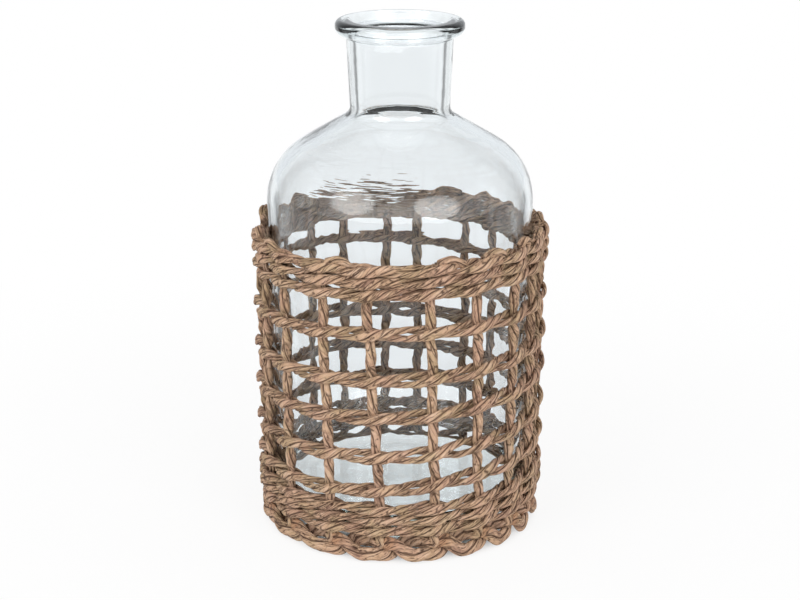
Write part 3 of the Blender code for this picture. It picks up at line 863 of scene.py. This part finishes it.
class HOLDER_OT_stakes(bpy.types.Operator):
    """Add the stakes, from their cut ends at the foot to their hooks on the rim."""

    bl_idname = "holder.stakes"
    bl_label = "Stakes"

    def execute(self, context):
        """Make the stakes one by one, each with a cut end at its foot."""
        settings = context.scene.holder_cord
        for stake in range(STAKE_COUNT):
            grid, gone = self.surface(stake, settings)
            basket_piece(f"stake_cord_{stake + 1:02d}", grid, gone, settings,
                         [f"basket_stake_{stake + 1:02d}"], ends=(1, 0))
        return {"FINISHED"}

    def tail(self, stake):
        """Angle, radius, height, half height and half depth at the points of a stake's foot.

        A point's height is its share of the rise from the table to the bend, or, past the next
        stake, to just under the lowest row.
        """
        spacings, insets, rises, half_heights, half_depths = TAIL_POINTS.T
        inset = np.where(insets > 0, insets * TAIL_SEAT_DEPTH, insets * TAIL_OUT)
        end = stake - spacings[-1]
        start = end + STAKE_COUNT * math.ceil((FIRST_STAKE - end) / STAKE_COUNT)
        under_row = row_height(np.array(start)) - TAIL_UNDER_ROW
        tops = np.where(spacings > NEXT_STAKE, under_row, TAIL_BEND)
        heights = TAIL_REST + rises * (tops - TAIL_REST)
        return np.stack([angle_at(stake - spacings), stake_radius(TAIL_BEND) - inset, heights,
                         half_heights, half_depths], axis=1)[::-1]

    def upright(self, stake, rows, half_width):
        """The same for its upright, which leans evenly and sways a little to both sides."""
        heights = np.linspace(rows[0] - UPRIGHT_START, rows[-1] - UPRIGHT_END, UPRIGHT_POINTS)
        sway = SWAY * wander(heights, SWAY_SEED + stake, SWAY_WAVE) / (math.tau * SWAY_RADIUS)
        turns = stake_turn(np.array(stake), heights) + sway
        halves = np.full(UPRIGHT_POINTS, half_width)
        return np.stack([turns, stake_radius(heights), heights, halves, halves], axis=1)

    def hook(self, stake, last, top, half_width):
        """The same for its hook, whose steps up and out are added to the top row's climb."""
        spacings, rises, steps = HOOK_POINTS.T
        places = last + spacings
        climb = np.interp(places, [last, last + 1.0], [top, top + ROW_PITCH / STAKE_COUNT])
        halves = np.full(len(places), half_width)
        return np.stack([angle_at(places), stake_radius(top) + steps,
                         climb + rises * HOOK_SIZES[stake], halves, halves], axis=1)

    def surface(self, stake, settings):
        """Grid of one stake: a smooth curve through its foot, its upright and its hook, pressed
        flat where it passes a row and kept above the table."""
        spots = np.arange(stake, LAST_STAKE + 1, STAKE_COUNT)
        spots = spots[spots >= FIRST_STAKE]
        rows = row_height(spots)
        route = np.vstack([self.tail(stake), self.upright(stake, rows, settings.stake_width / 2),
                           self.hook(stake, spots[-1], rows[-1], settings.hook_width / 2)])
        centres = place(route[:, 0], route[:, 1], route[:, 2])
        even = through_points(np.hstack([centres, route[:, 3:], route[:, :1]]), settings.step)
        centres, half_widths, half_depths, turns = even[:, :3], even[:, 3], even[:, 4], even[:, 5]
        heights = centres[:, 2]
        upright = eased(heights, *UPRIGHT_FOOT) * (
            1.0 - eased(heights, rows[-1], rows[-1] + UPRIGHT_TOP))
        near_row = np.min(np.abs(heights[:, None] - rows[None, :]), axis=1)
        pressed = (1.0 - eased(near_row, *PRESSED_REACH)) * upright
        return cord_surface(centres, outward(turns), mixed(half_depths, PRESSED_DEPTH, pressed),
                            half_widths, settings.groove, settings.stake_turn,
                            STAKE_SEED + SEED_STEP * stake, floor=0.0)


class HOLDER_OT_stage(bpy.types.Operator):
    """Add the floor, the soft light and the camera."""

    bl_idname = "holder.stage"
    bl_label = "Stage"

    def execute(self, context):
        """Make the white floor, an even sky, two soft lamps and the photograph's camera."""
        scene = context.scene
        settings = scene.holder_stage
        self.floor(settings)
        self.sky(scene, settings)
        for name, spot in LAMP_SPOTS:
            data = bpy.data.lights.new(name, "AREA")
            data.shape, data.size, data.energy = "DISK", LAMP_SIZE, settings.lamp_power
            lamp = bpy.data.objects.new(name, data)
            lamp.location = spot
            aim = Vector(LAMP_AIM) - Vector(spot)
            lamp.rotation_euler = aim.to_track_quat("-Z", "Y").to_euler()
            lamp.visible_camera = False
            scene.collection.objects.link(lamp)
        data = bpy.data.cameras.new("photo_camera")
        data.lens, data.sensor_width, data.clip_start = settings.lens, CAMERA_SENSOR, CAMERA_NEAR
        camera = bpy.data.objects.new("photo_camera", data)
        camera.location = CAMERA_SPOT
        camera.rotation_euler = (math.pi / 2 - CAMERA_PITCH, 0.0, 0.0)
        scene.collection.objects.link(camera)
        scene.camera = camera
        scene.view_settings.view_transform = "Standard"
        return {"FINISHED"}

    def rays(self, start):
        """Whether a ray comes from the camera, and whether from or through the glass."""
        camera = start.add("ShaderNodeLightPath").output("Is Camera Ray")
        return camera, camera.output("Is Glossy Ray"), camera.output("Is Transmission Ray")

    def flag(self, behind):
        """1 in a band of directions behind the object and 0 elsewhere."""
        return behind.ease(*FLAG_START) * (1.0 - behind.ease(*FLAG_END))

    def floor(self, settings):
        """A round white floor that keeps the shadow near the object and is white far off."""
        turns = np.arange(FLOOR_SIDES) / FLOOR_SIDES * math.tau
        points = np.stack([FLOOR_RADIUS * np.cos(turns), FLOOR_RADIUS * np.sin(turns),
                           -FLOOR_DROP + 0 * turns], axis=1)
        material, shader, start = new_material("white_floor", FLOOR_ROUGHNESS)
        shader.inputs["Base Color"].default_value = (*[settings.floor_grey] * 3, 1.0)
        direct, glossy, through = self.rays(start)
        bent = glossy.larger(through)
        spot = start.object_place()
        far = spot.add("ShaderNodeVectorMath", {"operation": "LENGTH"}, {0: spot}, output="Value")
        clear = far.ease(*FLOOR_CLEAR) * FLOOR_CLEAR_SHARE + far.ease(*FLOOR_FAR) * FLOOR_FAR_SHARE
        share = direct * clear + bent * (far.ease(*BENT_CLEAR) * BENT_CLEAR_SHARE + BENT_NEAR_SHARE)
        behind = spot.split().output(1) / far
        dimmed = self.flag(behind) * FLOOR_FLAG + (
            1.0 - behind.ease(*FLOOR_FRONT)) * FLOOR_FRONT_SHARE
        level = 1.0 - far.ease(*BENT_DIMMED) * dimmed
        white = start.add("ShaderNodeEmission", None, {"Color": bent.mix(WHITE, BENT_FLOOR_COLOUR),
                                                       "Strength": direct + bent * level})
        both = start.add("ShaderNodeMixShader", None,
                         {0: share, 1: Value(start.tree, shader.outputs[0]), 2: white})
        both.into(material.node_tree.nodes["Material Output"], "Surface")
        floor = make_piece("floor", points.tolist(), [list(range(FLOOR_SIDES))], [material])

    def sky(self, scene, settings):
        """An even white sky, plain for what it lights and full white where it is seen."""
        world = bpy.data.worlds.new("white_sky")
        world.use_nodes = True
        scene.world = world
        start = Value(world.node_tree)
        direct, glossy, through = self.rays(start)
        bent = through.larger(glossy)
        parts = start.add("ShaderNodeTexCoord").split()
        depth, height = parts.output(1), parts.output(2)
        flag = self.flag(depth)
        front = (1.0 - depth.ease(*SKY_FRONT)) * (1.0 - height.ease(*SKY_FRONT_TOP))
        mirrored = depth.ease(*MIRRORED_BACK) * MIRRORED_BACK_LEVEL + MIRRORED_LEVEL
        sides = depth.ease(*SKY_SIDES_START) * (1.0 - depth.ease(*SKY_SIDES_END)) * (
            1.0 - height.ease(*SKY_SIDES_TOP))
        glazed = front * SKY_FRONT_LEVEL + sides + SKY_LEVEL - flag * SKY_FLAG
        level = mirrored + through * (glazed - mirrored)
        other = 1.0 - direct.larger(bent)
        strength = direct + bent * level + other * settings.daylight
        colour = (bent * (1.0 - front)).mix(WHITE, BENT_SKY_COLOUR)
        background = world.node_tree.nodes["Background"]
        colour.into(background, "Color")
        strength.into(background, "Strength")


class HOLDER_PT_panel(bpy.types.Panel):
    """Lists the steps that build the holder."""

    bl_idname = "HOLDER_PT_panel"
    bl_label = "Glass candle holder"
    bl_space_type = "VIEW_3D"
    bl_region_type = "UI"
    bl_category = "Candle holder"

    def draw(self, context):
        """Show each group's settings above the button that builds it."""
        for group, operator in (("holder_bottle", "holder.bottle"),
                                ("holder_cord", "holder.stakes"), (None, "holder.twining"),
                                ("holder_stage", "holder.stage")):
            if group:
                settings = getattr(context.scene, group)
                for name in settings.bl_rna.properties.keys():
                    if name not in ("rna_type", "name"):
                        self.layout.prop(settings, name)
            self.layout.operator(operator)


CLASSES = (BottleSettings, CordSettings, StageSettings, HOLDER_OT_bottle, HOLDER_OT_twining,
           HOLDER_OT_stakes, HOLDER_OT_stage, HOLDER_PT_panel)


def register():
    """Register the classes and hang the settings on the scene."""
    for kind in CLASSES:
        bpy.utils.register_class(kind)
    bpy.types.Scene.holder_bottle = PointerProperty(type=BottleSettings)
    bpy.types.Scene.holder_cord = PointerProperty(type=CordSettings)
    bpy.types.Scene.holder_stage = PointerProperty(type=StageSettings)


def unregister():
    """Take the settings and the classes away again."""
    del bpy.types.Scene.holder_bottle
    del bpy.types.Scene.holder_cord
    del bpy.types.Scene.holder_stage
    for kind in reversed(CLASSES):
        bpy.utils.unregister_class(kind)


def main():
    """Build every group in order."""
    register()
    bpy.ops.holder.stage()
    bpy.ops.holder.bottle()
    bpy.ops.holder.twining()
    bpy.ops.holder.stakes()


if __name__ == "__main__":
    main()
